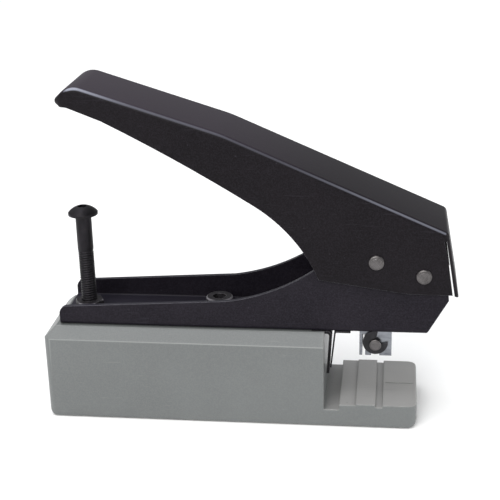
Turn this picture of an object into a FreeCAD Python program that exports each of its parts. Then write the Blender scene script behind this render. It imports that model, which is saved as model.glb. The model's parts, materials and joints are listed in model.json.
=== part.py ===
import FreeCAD, Part
import math
import os

# Bench slot punch. Lengths in millimetres, +Z up, +X towards the card throat.
# The origin is the centre of the base's footprint, on the surface it stands on.

vec = FreeCAD.Vector

# Base casting
base_length = 117.0
base_width = 31.8
base_height = 30.4
shoulder_drop = 3.5
shoulder_run = 3.7
shoulder_blend = 1.0
base_side_wall = 2.5
base_end_wall = 3.6
base_top_wall = 4.0
plan_corner_radius = 3.0
bottom_corner_radius = 2.4
ledge = 0.8
seat_corner_radius = 2.0

# Platform in front of the casting: each step is (length, drop below the pad)
platform_length = 28.75
pad_height = 7.9
platform_steps = [(4.7, 2.1), (5.1, 0.4), (6.2, 0.0), (2.1, 0.9)]
front_step_drop = 0.15
platform_lip_radius = 0.6
platform_step_radius = 0.2
platform_cavity_height = 1.2
centre_line_length = 8.7
centre_line_width = 0.5
centre_line_depth = 0.4
centre_line_inset = 1.2

# Closing plate and sole underneath
sole_thickness = 1.2
sole_proud = 0.4
cover_thickness = 1.2
cover_gap = 0.1
cover_screw_radius = 1.25
cover_screw_head_radius = 2.4
cover_screw_head_height = 0.8
cover_screw_cross_length = 2.6
cover_screw_cross_width = 0.5
cover_screw_cross_depth = 0.5
cover_screw_end_room = 0.5
cover_screw_length = 7.0
cover_boss_radius = 3.0
cover_screw_inset = 8.5
sole_hole_gap = 0.6
screw_gap = 0.05

# Blade
blade_thickness = 1.7
blade_width = 14.0
blade_drop = 0.4
blade_height = 8.0
blade_end_share = 0.98
blade_below_ram = 1.0

# Folded channel on top of the base
sheet = 1.2
channel_width = 23.4
channel_inset = 5.0
channel_rear_wall = 6.2
channel_mid_wall = 9.3
channel_bend_radius = 1.6
channel_bend_inner_radius = 0.5
channel_rear_radius = 2.6
channel_front_overhang = 2.2
channel_nose_run = 6.5
channel_nose_height = 11.4
channel_nose_radius = 1.0
channel_brow_run = 1.2
channel_brow_rise = 1.0
channel_brow_radius = 6.0
channel_top_lead = 2.0
channel_top_radius = 8.0
channel_shoulder_radius = 3.0
channel_cheek_height = 30.1
channel_shoulder_back = 60.0
channel_shoulder_mid_back = 44.8
channel_shoulder_mid_rise = 13.5
channel_shoulder_end_back = 30.6
channel_shoulder_end_rise = 21.9
channel_cheek_back = 22.0

# Handle, folded outside the channel
handle_sheet = 1.0
handle_side_gap = 0.3
handle_edge_radius = 1.6
handle_front_slope = 23.9
handle_rear_slope = 18.0
handle_crease_back = 60.0
handle_crease_radius = 40.0
handle_roof_over_pivot = 16.7
handle_nose_back = 104.3
handle_nose_length = 6.2
handle_nose_drop = 5.8
handle_nose_radius = 6.0
handle_nose_plan_radius = 6.0
handle_nose_inner_radius = 1.2
handle_nose_top_share = 0.6
handle_tip_radius = 1.4
handle_rim_run = 2.4
handle_rim_drop = 1.1
handle_lip_back = 105.5
handle_lip_drop = 1.0
handle_lip_radius = 4.0
handle_mouth_depth = 60.0
handle_mouth_lean = 2.0
flap_gap = 0.8
flap_tilt = 10.0
flap_bend_radius = 1.8
flap_foot_drop = 0.7
flap_foot_width = 0.4
flap_slot_top_drop = 1.6
flap_slot_top_width = 0.6
cheek_bottom_drop = 5.8
cheek_front_reach = 8.6
cheek_edge_back = 1.5
cheek_edge_rise = 4.3
cheek_corner_back = 4.7
cheek_corner_rise = 0.1
cheek_heel_back = 31.4
cheek_heel_drop = 1.8
grip_edge_points = [(95.2, 46.8), (69.1, 32.6), (50.1, 21.0), (38.6, 10.5)]

# Pivot, drive pin and sleeve
pivot_overhang = 1.05
pivot_height = 49.8
drive_back = 14.2
drive_rise = 4.2
pin_radius = 2.0
pin_head_radius = 2.33
pin_head_height = 0.7
pin_gap = 0.05
sleeve_wall = 1.3
drive_slot_gap = 0.4
handle_travel_deg = 20.8

# Ram, its guide bracket and cross pin
ram_head_height = 12.5
ram_head_length = 8.6
ram_head_side_gap = 0.3
ram_neck_length = 7.0
ram_neck_width = 9.0
ram_rise_over_pin = 4.5
ram_window_gap = 0.3
guide_sheet = 0.9
guide_blade_room = 1.3
guide_length = 9.9
guide_shift = 0.05
guide_slot_top = 0.6
guide_drop = 8.6
guide_notch_width = 2.5
guide_rear_slot = 0.9
cross_pin_radius = 1.1
cross_pin_end_radius = 1.85
cross_pin_drop = 4.6
cross_pin_end_height = 0.9
clip_outer_radius = 3.85
clip_lift = 0.6
clip_thickness = 0.7
clip_gap = 0.05
clip_mouth_share = 0.9
clip_mouth_start = 1.2
clip_mouth_deg = 70.0
clip_mouth_turn_deg = 45.0
guide_rivet_radius = 1.0
guide_rivet_head_radius = 1.6
guide_rivet_head_height = 0.8
spring_radius = 2.35
spring_wire = 0.6
spring_turns = 7
spring_seat_gap = 0.05

# Screws along the channel
m5_radius = 2.5
m5_hole_gap = 0.2
m5_thread_gap = 0.05
cap_head_radius = 4.25
cap_head_height = 5.0
cap_key = 4.0
cap_head_chamfer = 0.4
cap_key_depth = 2.8
frame_screw_back = 4.25
frame_screw_length = 9.0
nut_across_flats = 8.0
nut_height = 4.0
nut_chamfer = 0.4
lock_nut_height = 2.7
stop_inset = 11.8
stop_screw_length = 40.0
stop_head_radius = 4.65
stop_head_height = 2.9
stop_head_top = 66.2
stop_head_rim = 0.7
stop_key = 3.0
stop_key_depth = 1.9
stop_boss_radius = 4.5
stop_hole_floor = 4.4
shank_chamfer = 0.5

# Card back stop: a bent strip and the leaf in front of it
strip_width = 4.0
strip_side_inset = 0.6
strip_gap = 0.1
back_strip_sheet = 0.9
back_strip_reach = 2.4
back_strip_tuck = 4.0
back_strip_drop = 14.4
back_strip_lean = 0.9
back_strip_bend = 1.6
leaf_sheet = 0.5
leaf_gap = 0.6
leaf_drop = 12.4
leaf_lean = 1.3
leaf_flange = 5.0
leaf_bend_radius = 0.8
leaf_bend_inner_radius = 0.3
leaf_rivet_radius = 0.7
leaf_rivet_head_radius = 1.3
leaf_rivet_edge = 1.5
leaf_rivet_head_height = 0.5

# How far a cutting shape runs past what it cuts
past = 1.0

# Stations worked out from the sizes above
rear_x = -base_length / 2
front_x = base_length / 2
throat_x = front_x - platform_length
half_base = base_width / 2
half_channel = channel_width / 2
half_handle = half_channel + handle_side_gap + handle_sheet
floor_top = base_height + sheet
cover_top = sole_thickness + cover_thickness
cavity_top = base_height - base_top_wall
pivot_x = front_x + pivot_overhang
drive_x = pivot_x - drive_back
drive_z = pivot_height + drive_rise
groove_start = throat_x + sum(step[0] for step in platform_steps[:-1])
groove_x = groove_start + platform_steps[-1][0] / 2
stop_x = rear_x + stop_inset
frame_screw_x = -frame_screw_back
guide_bottom = base_height - guide_drop
cross_pin_z = base_height - cross_pin_drop
blade_bottom = guide_bottom - blade_drop
ram_bottom = blade_bottom + blade_below_ram
ram_top = drive_z + ram_rise_over_pin
ram_shoulder = ram_top - ram_head_height
guide_rear = drive_x + guide_shift - guide_length / 2
half_guide = blade_width / 2 + guide_blade_room + guide_sheet
spring_y = (ram_neck_width / 2 + half_channel - sheet) / 2
stroke = drive_back * math.sin(math.radians(handle_travel_deg))
stroke += drive_rise * (1 - math.cos(math.radians(handle_travel_deg)))
slot_drift = math.hypot(drive_back, drive_rise) - drive_back


def box(x0, x1, y0, y1, z0, z1):
    return Part.makeBox(x1 - x0, y1 - y0, z1 - z0, vec(x0, y0, z0))


def disc(radius, x, y, z0, z1):
    return Part.makeCylinder(radius, z1 - z0, vec(x, y, z0), vec(0, 0, 1))


def cross_rod(radius, x, z, y0, y1):
    return Part.makeCylinder(radius, y1 - y0, vec(x, y0, z), vec(0, 1, 0))


def hex_prism(across_flats, x, y, z0, z1):
    reach = across_flats / 2 / math.cos(math.radians(30))
    turns = [math.radians(60 * k) for k in range(7)]
    corners = [vec(x + reach * math.cos(t), y + reach * math.sin(t), z0) for t in turns]
    face = Part.Face(Part.makePolygon(corners))
    return face.extrude(vec(0, 0, z1 - z0))


def side_slab(edges, y0, y1):
    """Closed outline in X and Z, given as edges at y = 0, made solid from y0 to y1."""
    face = Part.Face(Part.Wire(edges))
    face.translate(vec(0, y0, 0))
    return face.extrude(vec(0, y1 - y0, 0))


def outline(points):
    """Edges round a list of (x, z) or (x, z, radius) corners; a radius rounds its corner."""
    edges = []
    count = len(points)
    starts = []
    ends = []
    for k in range(count):
        here = vec(points[k][0], 0, points[k][1])
        before = vec(points[k - 1][0], 0, points[k - 1][1])
        after = vec(points[(k + 1) % count][0], 0, points[(k + 1) % count][1])
        radius = points[k][2] if len(points[k]) > 2 else 0
        if radius == 0:
            starts.append(here)
            ends.append(here)
            continue
        back = (before - here).normalize()
        ahead = (after - here).normalize()
        half_turn = back.getAngle(ahead) / 2
        reach = radius / math.tan(half_turn)
        bisector = (back + ahead).normalize()
        centre = here + bisector * (radius / math.sin(half_turn))
        starts.append(here + back * reach)
        ends.append(here + ahead * reach)
        middle = centre - bisector * radius
        edges.append(Part.Arc(starts[-1], middle, ends[-1]).toShape())
    for k in range(count):
        gap = starts[(k + 1) % count] - ends[k]
        if gap.Length > 1e-6:
            edges.append(Part.makeLine(ends[k], starts[(k + 1) % count]))
    return Part.__sortEdges__(edges)


def plan_slab(x0, x1, half_y, radius, z0, z1):
    """Upright slab with rounded plan corners."""
    slab = box(x0, x1, -half_y, half_y, z0, z1)
    upright = [e for e in slab.Edges if abs(e.tangentAt(e.FirstParameter).z) > 0.9]
    return slab.makeFillet(radius, upright)


def side_gauge():
    """Base outline seen from the side: rear shoulder, throat wall, stepped platform."""
    points = [(rear_x, sole_proud, bottom_corner_radius)]
    points.append((front_x, sole_proud, bottom_corner_radius))
    points.append((front_x, pad_height - front_step_drop, platform_lip_radius))
    x = throat_x + sum(step[0] for step in platform_steps)
    points.append((x, pad_height - front_step_drop, platform_step_radius))
    for length, drop in reversed(platform_steps):
        points.append((x, pad_height - drop))
        x -= length
        points.append((x, pad_height - drop))
    points.append((throat_x, base_height))
    points.append((rear_x + shoulder_run, base_height, shoulder_blend))
    points.append((rear_x, base_height - shoulder_drop, shoulder_blend))
    return side_slab(outline(points), -half_base, half_base)


def section_gauge():
    """Base outline seen from the end: straight sides under two sloping shoulders."""
    corners = [(-half_base, 0), (half_base, 0)]
    corners.append((half_base, base_height - shoulder_drop, shoulder_blend))
    corners.append((half_base - shoulder_run, base_height, shoulder_blend))
    corners.append((shoulder_run - half_base, base_height, shoulder_blend))
    corners.append((-half_base, base_height - shoulder_drop, shoulder_blend))
    slab = side_slab(outline(corners), rear_x, front_x)
    slab.rotate(vec(0, 0, 0), vec(0, 0, 1), -90)
    return slab


def cover_screw_places():
    rear = rear_x + cover_screw_inset
    front = throat_x - cover_screw_inset
    return [(x, side * cover_screw_inset) for x in (rear, front) for side in (-1, 1)]


def base_body():
    """Hollow casting, open underneath, with bosses for its own screws and the stop screw."""
    body = side_gauge().common(section_gauge())
    body = body.common(plan_slab(rear_x, front_x, half_base, plan_corner_radius, 0, base_height))
    body = body.cut(base_hollow())
    for x, y in cover_screw_places():
        body = body.fuse(disc(cover_boss_radius, x, y, cover_top, cavity_top))
        hole_top = cover_top + cover_screw_length
        body = body.cut(disc(cover_screw_radius + screw_gap, x, y, cover_top - past, hole_top))
    body = body.cut(centre_line())
    body = body.cut(disc(m5_radius + m5_hole_gap, frame_screw_x, 0, 0, base_height + past))
    body = body.fuse(disc(stop_boss_radius, stop_x, 0, cover_top, cavity_top))
    body = body.cut(disc(m5_radius + m5_thread_gap, stop_x, 0, stop_hole_floor, base_height + past))
    return body.cut(strip_tuck()).removeSplitter()


def base_hollow():
    """Everything open under the casting: the cover's seat, the tall hollow, the low one in front."""
    rear = rear_x + base_end_wall
    front = front_x - base_end_wall
    wall_x = throat_x - base_end_wall
    inner_y = half_base - base_side_wall - ledge
    low_top = cover_top + platform_cavity_height
    seat_y = half_base - base_side_wall
    seat = plan_slab(rear, front, seat_y, seat_corner_radius, -past, cover_top)
    tall = box(rear + ledge, wall_x, -inner_y, inner_y, 0, cavity_top)
    low = box(wall_x - past, front - ledge, -inner_y, inner_y, 0, low_top)
    return seat.fuse(tall).fuse(low)


def centre_line():
    """Engraved line along the front of the platform, for lining up a card."""
    x1 = front_x - centre_line_inset
    half_y = centre_line_width / 2
    floor_z = pad_height - front_step_drop - centre_line_depth
    return box(x1 - centre_line_length, x1, -half_y, half_y, floor_z, pad_height)


def strip_tuck():
    """Shallow seat in the casting's top for the end of the back stop."""
    x0 = throat_x - back_strip_tuck - strip_gap
    y0 = strip_near_y() - strip_gap
    y1 = strip_near_y() + strip_width + strip_gap
    return box(x0, throat_x + past, y0, y1, base_height - back_strip_sheet, base_height + past)


def bottom_cover():
    """Flat closing plate in the seat under the casting."""
    rear = rear_x + base_end_wall + cover_gap
    front = front_x - base_end_wall - cover_gap
    half_y = half_base - base_side_wall - cover_gap
    plate = plan_slab(rear, front, half_y, seat_corner_radius - cover_gap, sole_thickness, cover_top)
    for x, y in cover_screw_places():
        plate = plate.cut(disc(cover_screw_radius + screw_gap, x, y, 0, cover_top + past))
    return plate


def cover_screws():
    """Four pan head screws with a cross recess, which hold the cover."""
    half_length = cover_screw_cross_length / 2
    half_width = cover_screw_cross_width / 2
    head_bottom = sole_thickness - cover_screw_head_height
    recess_top = head_bottom + cover_screw_cross_depth
    tip = cover_top + cover_screw_length - cover_screw_end_room
    screws = []
    for x, y in cover_screw_places():
        screw = disc(cover_screw_head_radius, x, y, head_bottom, sole_thickness)
        screw = screw.fuse(disc(cover_screw_radius, x, y, sole_thickness, tip))
        for dx, dy in ((half_length, half_width), (half_width, half_length)):
            screw = screw.cut(box(x - dx, x + dx, y - dy, y + dy, 0, recess_top))
        screws.append(screw)
    return Part.makeCompound(screws)


def rubber_sole():
    rear = rear_x + base_end_wall + 2 * cover_gap
    front = front_x - base_end_wall - 2 * cover_gap
    half_y = half_base - base_side_wall - 2 * cover_gap
    sole = plan_slab(rear, front, half_y, seat_corner_radius - 2 * cover_gap, 0, sole_thickness)
    for x, y in cover_screw_places():
        hole_radius = cover_screw_head_radius + sole_hole_gap
        sole = sole.cut(disc(hole_radius, x, y, -past, sole_thickness + past))
    return sole


def channel_side():
    """Side outline of the folded channel, from its low rear walls to the tall front cheeks."""
    rear = rear_x + channel_inset
    nose_x = front_x + channel_front_overhang + channel_nose_run
    cheek_top = base_height + channel_cheek_height
    slope = (pivot_x - channel_shoulder_end_back, base_height + channel_shoulder_end_rise)
    corners = [(rear, base_height), (front_x + channel_front_overhang, base_height)]
    corners.append((nose_x, base_height + channel_nose_height, channel_nose_radius))
    brow = (nose_x - channel_brow_run, pivot_height + channel_brow_rise, channel_brow_radius)
    corners.append(brow)
    corners.append((pivot_x - channel_top_lead, cheek_top, channel_top_radius))
    corners.append((pivot_x - channel_cheek_back, cheek_top, channel_shoulder_radius))
    edges = open_outline(corners + [slope])
    low = (pivot_x - channel_shoulder_back, base_height + channel_mid_wall)
    middle = (pivot_x - channel_shoulder_mid_back, base_height + channel_shoulder_mid_rise)
    edges.append(arc_through(slope, middle, low))
    wall_end = (rear, base_height + channel_rear_wall, channel_rear_radius)
    return edges + open_outline([low, wall_end, (rear, base_height)])


def arc_through(start, middle, end):
    """Arc through three (x, z) points."""
    points = [vec(x, 0, z) for x, z in (start, middle, end)]
    return Part.Arc(points[0], points[1], points[2]).toShape()


def open_outline(points):
    """Edges along a list of corners without closing it; a radius rounds its corner."""
    edges = []
    last = vec(points[0][0], 0, points[0][1])
    for k in range(1, len(points)):
        here = vec(points[k][0], 0, points[k][1])
        radius = points[k][2] if len(points[k]) > 2 and k < len(points) - 1 else 0
        if radius == 0:
            edges.append(Part.makeLine(last, here))
            last = here
            continue
        after = vec(points[k + 1][0], 0, points[k + 1][1])
        back = (last - here).normalize()
        ahead = (after - here).normalize()
        half_turn = back.getAngle(ahead) / 2
        reach = radius / math.tan(half_turn)
        bisector = (back + ahead).normalize()
        centre = here + bisector * (radius / math.sin(half_turn))
        start = here + back * reach
        end = here + ahead * reach
        edges.append(Part.makeLine(last, start))
        edges.append(Part.Arc(start, centre - bisector * radius, end).toShape())
        last = end
    return edges


def folded_section(half_y, z0, z1, radius, x0, x1):
    """Bar along X whose two lower edges have a bend radius."""
    corners = [(-half_y, z0, radius), (half_y, z0, radius), (half_y, z1), (-half_y, z1)]
    bar = side_slab(outline(corners), x0, x1)
    bar.rotate(vec(0, 0, 0), vec(0, 0, 1), -90)
    return bar


def frame_channel():
    """One folded sheet: a floor with a wall each side, tall enough at the front for the pins."""
    slab = side_slab(channel_side(), -half_channel, half_channel)
    top = base_height + channel_cheek_height + past
    x1 = front_x + channel_front_overhang + channel_nose_run + past
    outer = folded_section(half_channel, base_height, top, channel_bend_radius, rear_x, x1)
    inner_y = half_channel - sheet
    inner = folded_section(inner_y, floor_top, top, channel_bend_inner_radius, rear_x, x1)
    body = slab.common(outer).cut(inner)
    reach = half_channel + past
    body = body.cut(cross_rod(pin_radius + pin_gap, pivot_x, pivot_height, -reach, reach))
    body = body.cut(drive_slot(reach))
    body = body.cut(ram_window(base_height - past, floor_top + past))
    holes = [(m5_radius + m5_hole_gap, frame_screw_x, 0)]
    holes.append((m5_radius + m5_hole_gap, stop_x, 0))
    holes.append((guide_rivet_radius, drive_x, -spring_y))
    holes.append((guide_rivet_radius, drive_x, spring_y))
    leaf_x, leaf_y = leaf_rivet_place()
    holes.append((leaf_rivet_radius, leaf_x, leaf_y))
    for radius, x, y in holes:
        body = body.cut(disc(radius, x, y, base_height - past, floor_top + past))
    return body.removeSplitter()


def drive_slot(reach):
    """Upright slot in both cheeks that the drive pin moves along."""
    clear = pin_radius + drive_slot_gap
    x0 = drive_x - slot_drift - clear
    x1 = drive_x + clear
    bottom = drive_z - stroke
    slot = box(x0, x1, -reach, reach, bottom, drive_z)
    for z in (bottom, drive_z):
        slot = slot.fuse(cross_rod((x1 - x0) / 2, (x0 + x1) / 2, z, -reach, reach))
    return slot


def ram_window(z0, z1):
    """Opening for the ram's neck."""
    half_x = ram_neck_length / 2 + ram_window_gap
    half_y = ram_neck_width / 2 + ram_window_gap
    return box(drive_x - half_x, drive_x + half_x, -half_y, half_y, z0, z1)


def pivot_sleeve():
    """Spacer tube on the pivot pin that keeps the channel's cheeks apart."""
    half_y = half_channel - sheet
    tube = cross_rod(pin_radius + sleeve_wall, pivot_x, pivot_height, -half_y, half_y)
    reach = half_y + past
    return tube.cut(cross_rod(pin_radius + pin_gap, pivot_x, pivot_height, -reach, reach))


def rivet_pin(x, z):
    """Cross pin with a low domed head outside each side of the handle."""
    pin = cross_rod(pin_radius, x, z, -half_handle, half_handle)
    dome = (pin_head_radius ** 2 + pin_head_height ** 2) / (2 * pin_head_height)
    for side in (-1, 1):
        ball = Part.makeSphere(dome, vec(x, side * (half_handle + pin_head_height - dome), z))
        low = min(side * half_handle, side * (half_handle + pin_head_height))
        head = cross_rod(pin_head_radius, x, z, low, low + pin_head_height).common(ball)
        pin = pin.fuse(head)
    return pin.removeSplitter()


def roof_height(x, inset):
    """Height of the handle's roof above the ground at station x, moved in by inset."""
    slope = math.tan(math.radians(handle_front_slope))
    lift = handle_roof_over_pivot - inset / math.cos(math.radians(handle_front_slope))
    return pivot_height + lift + (pivot_x - x) * slope


def roof_points(inset):
    """Corners of the roof line from the front bend back to the nose, moved in by inset."""
    tilt = math.radians(flap_tilt)
    lean = math.tan(tilt)
    front_slope = math.tan(math.radians(handle_front_slope))
    foot_x = pivot_x + cheek_front_reach + flap_gap + handle_sheet - inset / math.cos(tilt)
    foot_z = pivot_height - cheek_bottom_drop - flap_foot_drop
    rise = roof_height(foot_x, inset) - foot_z
    bend_x = foot_x - rise * lean / (1 - lean * front_slope)
    crease_x = pivot_x - handle_crease_back
    top_x = pivot_x - handle_nose_back + inset * handle_nose_top_share
    top_z = rear_roof_height(top_x, inset)
    roof = {"foot": (foot_x, foot_z)}
    roof["bend"] = (bend_x, roof_height(bend_x, inset))
    roof["crease"] = (crease_x, roof_height(crease_x, inset))
    roof["top"] = (top_x, top_z)
    nose_x = pivot_x - handle_nose_back - handle_nose_length + inset
    roof["nose"] = (nose_x, top_z - handle_nose_drop)
    return roof


def rear_roof_height(x, inset):
    """Height of the gentler roof behind the crease."""
    crease_x = pivot_x - handle_crease_back
    slope = math.tan(math.radians(handle_rear_slope))
    return roof_height(crease_x, inset) + (crease_x - x) * slope


def roof_corners(roof, inset):
    """Corners shared by the handle's outside and its hollow."""
    corners = [roof["foot"], roof["bend"] + (flap_bend_radius - inset,)]
    corners.append(roof["crease"] + (handle_crease_radius,))
    corners.append(roof["top"] + (handle_nose_radius - inset,))
    return corners


def handle_outline():
    """Side outline of the handle: roof, nose, grip edge, heel and the bottom of the cheeks."""
    roof = roof_points(0)
    foot_x, foot_z = roof["foot"]
    nose_x, nose_z = roof["nose"]
    corners = [(foot_x - flap_foot_width, foot_z)] + roof_corners(roof, 0)
    corners.append((nose_x, nose_z, handle_tip_radius))
    corners.append((nose_x + handle_rim_run, nose_z - handle_rim_drop))
    corners.append((pivot_x - handle_lip_back, nose_z - handle_lip_drop, handle_lip_radius))
    grip = [(pivot_x - back, pivot_height + rise) for back, rise in grip_edge_points]
    heel = (pivot_x - cheek_heel_back, pivot_height - cheek_heel_drop)
    edges = open_outline(corners + [grip[0]])
    edges.append(arc_through(grip[0], grip[1], grip[2]))
    edges.append(arc_through(grip[2], grip[3], heel))
    bottom = pivot_height - cheek_bottom_drop
    lower = [heel, (pivot_x - cheek_corner_back, bottom + cheek_corner_rise)]
    lower.append((pivot_x + cheek_front_reach, bottom))
    lower.append((foot_x - flap_foot_width, foot_z))
    return edges + open_outline(lower)


def hollow_outline():
    """Side outline of the handle's hollow, carried down past its open underside."""
    roof = roof_points(handle_sheet)
    foot_x, foot_z = roof["foot"]
    nose_x, nose_z = roof["nose"]
    corners = roof_corners(roof, handle_sheet)
    corners.append((nose_x, nose_z, handle_nose_inner_radius))
    corners.append((nose_x + handle_mouth_lean, nose_z - handle_mouth_depth / 2))
    corners.append((foot_x, foot_z - handle_mouth_depth))
    return outline(corners)


def handle_bar(edges, inset):
    """Solid bar of a side outline with a rounded nose in plan."""
    half_y = half_handle - inset
    bar = side_slab(edges, -half_y, half_y)
    roof = roof_points(inset)
    nose_x = roof["nose"][0]
    plan_radius = handle_nose_plan_radius - inset
    front = roof["foot"][0] + plan_radius + past
    plan = plan_slab(nose_x, front, half_y, plan_radius, 0, roof["top"][1] + past)
    return bar.common(plan)


def handle_shell():
    """Folded handle: roof, two side walls, drawn nose and a flap that hangs in front."""
    outer = handle_bar(handle_outline(), 0)
    roof_edges = [e for e in outer.Edges if is_roof_edge(e)]
    outer = outer.makeFillet(handle_edge_radius, roof_edges)
    shell = outer.cut(handle_bar(hollow_outline(), handle_sheet))
    shell = shell.cut(flap_slots())
    reach = half_handle + past
    for x, z in ((pivot_x, pivot_height), (drive_x, drive_z)):
        shell = shell.cut(cross_rod(pin_radius, x, z, -reach, reach))
    return shell.removeSplitter()


def is_roof_edge(edge):
    """True for the long edges between the roof and the two side walls."""
    mid = edge.valueAt((edge.FirstParameter + edge.LastParameter) / 2)
    start = edge.valueAt(edge.FirstParameter)
    end = edge.valueAt(edge.LastParameter)
    on_side = abs(abs(mid.y) - half_handle) < 0.01
    level = abs(start.y - end.y) < 0.01
    roof_z = roof_height(mid.x, 0)
    if mid.x < pivot_x - handle_crease_back:
        roof_z = rear_roof_height(mid.x, 0)
    return on_side and level and mid.z > roof_z - handle_edge_radius


def flap_slots():
    """The open strip between each side wall's front edge and the hanging flap."""
    roof = roof_points(handle_sheet)
    foot_x, foot_z = roof["foot"]
    bend_x, bend_z = roof["bend"]
    top_z = bend_z - flap_slot_top_drop
    top_x = bend_x + (top_z - bend_z) * (foot_x - bend_x) / (foot_z - bend_z)
    cheek_x = pivot_x + cheek_front_reach
    corners = [(foot_x, foot_z - past), (top_x, top_z)]
    corners.append((top_x - flap_slot_top_width, top_z))
    corners.append((cheek_x - cheek_edge_back, pivot_height + cheek_edge_rise))
    corners.append((cheek_x, pivot_height - cheek_bottom_drop))
    corners.append((cheek_x, foot_z - past))
    return side_slab(outline(corners), -half_handle - past, half_handle + past)


def pivot_pin():
    return rivet_pin(pivot_x, pivot_height)


def drive_pin():
    return rivet_pin(drive_x, drive_z)


def ram_block():
    """T-shaped ram: a head that the drive pin carries and a neck that goes through the floor."""
    half_y = half_channel - sheet - ram_head_side_gap
    half_x = ram_head_length / 2
    neck_x = ram_neck_length / 2
    neck_y = ram_neck_width / 2
    head = box(drive_x - half_x, drive_x + half_x, -half_y, half_y, ram_shoulder, ram_top)
    neck = box(drive_x - neck_x, drive_x + neck_x, -neck_y, neck_y, ram_bottom, ram_shoulder)
    block = head.fuse(neck).cut(ram_slot(half_y + past))
    reach = neck_y + past
    block = block.cut(cross_rod(cross_pin_radius, drive_x, cross_pin_z, -reach, reach))
    half_t = blade_thickness / 2
    blade_top = blade_bottom + blade_height
    pocket = box(groove_x - half_t, groove_x + half_t, -reach, reach, blade_bottom, blade_top)
    return block.cut(pocket).removeSplitter()


def ram_slot(reach):
    """Level slot in the ram's head that the drive pin rolls along."""
    clear = pin_radius + pin_gap
    x0 = drive_x - slot_drift
    slot = box(x0, drive_x, -reach, reach, drive_z - clear, drive_z + clear)
    for x in (x0, drive_x):
        slot = slot.fuse(cross_rod(clear, x, drive_z, -reach, reach))
    return slot


def punch_blade():
    """Flat blade with rounded ends that cuts the slot; it clears the cross pin."""
    half_t = blade_thickness / 2
    half_w = blade_width / 2
    top = blade_bottom + blade_height
    blade = box(groove_x - half_t, groove_x + half_t, -half_w, half_w, blade_bottom, top)
    upright = [e for e in blade.Edges if abs(e.tangentAt(e.FirstParameter).z) > 0.9]
    blade = blade.makeFillet(half_t * blade_end_share, upright)
    reach = half_w + past
    return blade.cut(cross_rod(cross_pin_radius, drive_x, cross_pin_z, -reach, reach))


def guide_bracket():
    """Plated bracket under the channel: a top plate, a rear web and two notched side plates."""
    x0 = guide_rear
    x1 = x0 + guide_length
    web_x = x0 + guide_sheet
    under = base_height - guide_sheet
    bracket = box(x0, x1, -half_guide, half_guide, under, base_height)
    bracket = bracket.fuse(box(x0, web_x, -half_guide, half_guide, guide_bottom, base_height))
    for side in (-1, 1):
        low = min(side * half_guide, side * (half_guide - guide_sheet))
        high = low + guide_sheet
        bracket = bracket.fuse(box(x0, x1, low, high, guide_bottom, base_height))
        slot_top = under - guide_slot_top
        slot = box(web_x, web_x + guide_rear_slot, low - past, high + past, guide_bottom - past, slot_top)
        bracket = bracket.cut(slot.common(side_zone(side)))
    bracket = bracket.cut(guide_notch())
    bracket = bracket.cut(ram_window(under - past, base_height + past))
    for y in (-spring_y, spring_y):
        bracket = bracket.cut(disc(guide_rivet_radius, drive_x, y, under - past, base_height + past))
    return bracket.removeSplitter()


def side_zone(side):
    """The space of one of the guide's side plates, with room outside it."""
    inner = side * (half_guide - guide_sheet)
    outer = side * (half_guide + past)
    y0 = min(inner, outer)
    y1 = max(inner, outer)
    return box(guide_rear, guide_rear + guide_length, y0, y1, guide_bottom - past, base_height)


def guide_notch():
    """Round-topped notch in both side plates for the cross pin."""
    half_notch = guide_notch_width / 2
    reach = half_guide + past
    x0 = drive_x - half_notch
    x1 = drive_x + half_notch
    notch = box(x0, x1, -reach, reach, guide_bottom - past, cross_pin_z)
    notch = notch.fuse(cross_rod(half_notch, drive_x, cross_pin_z, -reach, reach))
    web_x = guide_rear + guide_sheet
    web = box(x0 - guide_length, web_x, -half_guide, half_guide, guide_bottom - past, base_height)
    return notch.cut(web)


def guide_rivets():
    """Two rivets through the channel's floor, flush below; their heads centre the springs."""
    rivets = []
    head_top = floor_top + guide_rivet_head_height
    for y in (-spring_y, spring_y):
        rivet = disc(guide_rivet_radius, drive_x, y, base_height - guide_sheet, floor_top)
        rivets.append(rivet.fuse(disc(guide_rivet_head_radius, drive_x, y, floor_top, head_top)))
    return Part.makeCompound(rivets)


def cross_pin():
    """Pin through the ram's neck and the guide's notches, with a thicker end past each clip."""
    reach = half_guide + clip_thickness + 2 * clip_gap
    pin = cross_rod(cross_pin_radius, drive_x, cross_pin_z, -reach, reach)
    for side in (-1, 1):
        low = min(side * reach, side * (reach + cross_pin_end_height))
        high = low + cross_pin_end_height
        pin = pin.fuse(cross_rod(cross_pin_end_radius, drive_x, cross_pin_z, low, high))
    return pin.removeSplitter()


def pin_clips():
    """Open retaining clips on the cross pin, outside the guide."""
    clips = []
    near = half_guide + clip_gap
    for side in (-1, 1):
        low = min(side * near, side * (near + clip_thickness))
        high = low + clip_thickness
        ring = cross_rod(clip_outer_radius, drive_x, cross_pin_z + clip_lift, low, high)
        hole = cross_rod(cross_pin_radius, drive_x, cross_pin_z, low - past, high + past)
        clips.append(ring.cut(hole).cut(mouth_wedge(low - past, high + past)))
    return Part.makeCompound(clips)


def mouth_wedge(y0, y1):
    """Opening of a clip: a little narrower than the pin near it, flared outwards."""
    half = cross_pin_radius * clip_mouth_share
    far = clip_outer_radius + past
    flare = far * math.tan(math.radians(clip_mouth_deg / 2))
    corners = [(0, -half), (clip_mouth_start, -half), (far, -flare)]
    corners += [(far, flare), (clip_mouth_start, half), (0, half)]
    wedge = side_slab(outline(corners), y0, y1)
    wedge.rotate(vec(0, 0, 0), vec(0, 1, 0), -clip_mouth_turn_deg)
    wedge.translate(vec(drive_x, 0, cross_pin_z))
    return wedge


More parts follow.
